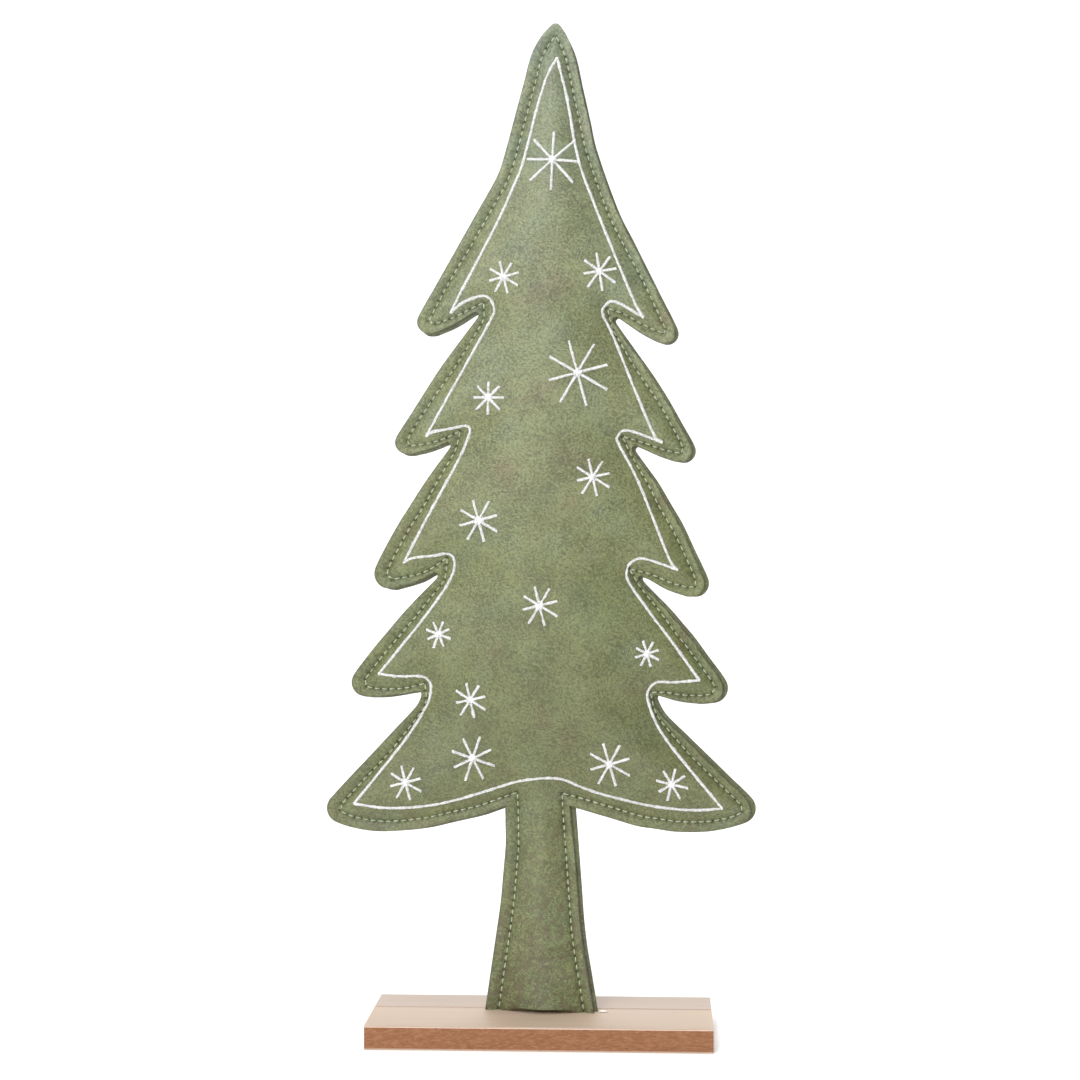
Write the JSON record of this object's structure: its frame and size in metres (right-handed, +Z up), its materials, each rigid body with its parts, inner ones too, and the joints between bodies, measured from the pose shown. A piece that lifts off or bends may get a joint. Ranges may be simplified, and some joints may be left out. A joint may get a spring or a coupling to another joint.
{
  "type": "felt christmas tree",
  "caption": "Stuffed flat felt tree sewn from two sheets, with embroidered outline and snowflakes, on a stiffening board glued into a slotted wooden foot.",
  "frame": {"origin": "middle of the tree's width and of the foot's depth, on the surface the foot stands on", "axes": "+Z up towards the tree's point, -Y towards the embroidered front, +X to the right of someone who faces it"},
  "size_m": [0.19, 0.06, 0.4464],
  "materials": {
    "fibreboard": "raw sawn fibreboard edge, reddish brown",
    "veneer": "pale matt wood-grain veneer",
    "hardboard": "raw",
    "glue": "dried white glue",
    "wadding": "loose fibre",
    "felt": "mottled sage-green felt with a short nap",
    "outline_thread": "white satin stitch",
    "snowflake_thread": "white satin stitch"
  },
  "bodies": {
    "root": {"base_board": "fibreboard", "base_veneer_front": "veneer", "base_veneer_back": "veneer", "base_veneer_bottom": "veneer", "core_board": "hardboard", "glue_bead": "glue", "wadding_front": "wadding", "wadding_back": "wadding", "felt_front": "felt", "felt_back": "felt", "embroidered_outline": "outline_thread", "snowflake_01": "snowflake_thread", "snowflake_02": "snowflake_thread", "snowflake_03": "snowflake_thread", "snowflake_04": "snowflake_thread", "snowflake_05": "snowflake_thread", "snowflake_06": "snowflake_thread", "snowflake_07": "snowflake_thread", "snowflake_08": "snowflake_thread", "snowflake_09": "snowflake_thread", "snowflake_10": "snowflake_thread", "snowflake_11": "snowflake_thread", "snowflake_12": "snowflake_thread", "snowflake_13": "snowflake_thread", "snowflake_14": "snowflake_thread", "snowflake_15": "snowflake_thread"}
  },
  "joints": []
}
